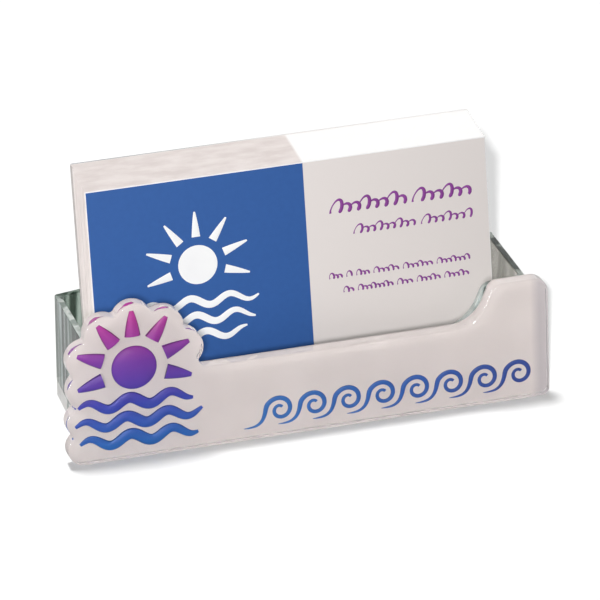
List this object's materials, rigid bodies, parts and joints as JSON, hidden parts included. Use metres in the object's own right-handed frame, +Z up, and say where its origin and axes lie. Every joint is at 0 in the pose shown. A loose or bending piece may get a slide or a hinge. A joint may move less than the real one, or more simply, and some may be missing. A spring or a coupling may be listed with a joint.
{
  "type": "business card holder stand",
  "caption": "Clear desk holder for business cards: a moulded tray with a contour-cut printed plate bonded to its leaning front wall, and a stack of cards that lift out.",
  "frame": {"origin": "middle of the tray's flat underside, on the desk", "axes": "+X along the width to the right as seen from the front, +Y to the back, +Z up"},
  "size_m": [0.1076, 0.0358, 0.0538],
  "materials": {
    "clear_tray": "clear moulded plastic, polished",
    "clear_plate": "clear acrylic sheet, polished edge",
    "pale_film": "opaque pale warm grey film",
    "clear_tape": "clear double-sided adhesive sheet",
    "printed_card": "uncoated card, printed in blue, white and purple",
    "card_stock": "uncoated off-white card"
  },
  "bodies": {
    "holder": {"tray": "clear_tray", "front_plate": "clear_plate", "backing_film": "pale_film", "bond_tape": "clear_tape"},
    "front_card": {"front_card": "printed_card"},
    "card_deck": {"card_01": "card_stock", "card_02": "card_stock", "card_03": "card_stock", "card_04": "card_stock", "card_05": "card_stock", "card_06": "card_stock", "card_07": "card_stock", "card_08": "card_stock", "card_09": "card_stock", "card_10": "card_stock", "card_11": "card_stock", "card_12": "card_stock", "card_13": "card_stock", "card_14": "card_stock", "card_15": "card_stock", "card_16": "card_stock", "card_17": "card_stock", "card_18": "card_stock", "card_19": "card_stock", "card_20": "card_stock", "card_21": "card_stock", "card_22": "card_stock", "card_23": "card_stock", "card_24": "card_stock", "card_25": "card_stock", "card_26": "card_stock", "card_27": "card_stock", "card_28": "card_stock", "card_29": "card_stock", "card_30": "card_stock", "card_31": "card_stock", "card_32": "card_stock"}
  },
  "joints": [
    {"name": "front_card_lift", "type": "slide", "parent": "holder", "child": "front_card", "axis": [0, 0.2164, 0.9763], "range_m": [0, 0.055]},
    {"name": "deck_lift", "type": "slide", "parent": "holder", "child": "card_deck", "axis": [0, 0.2164, 0.9763], "range_m": [0, 0.055]}
  ]
}
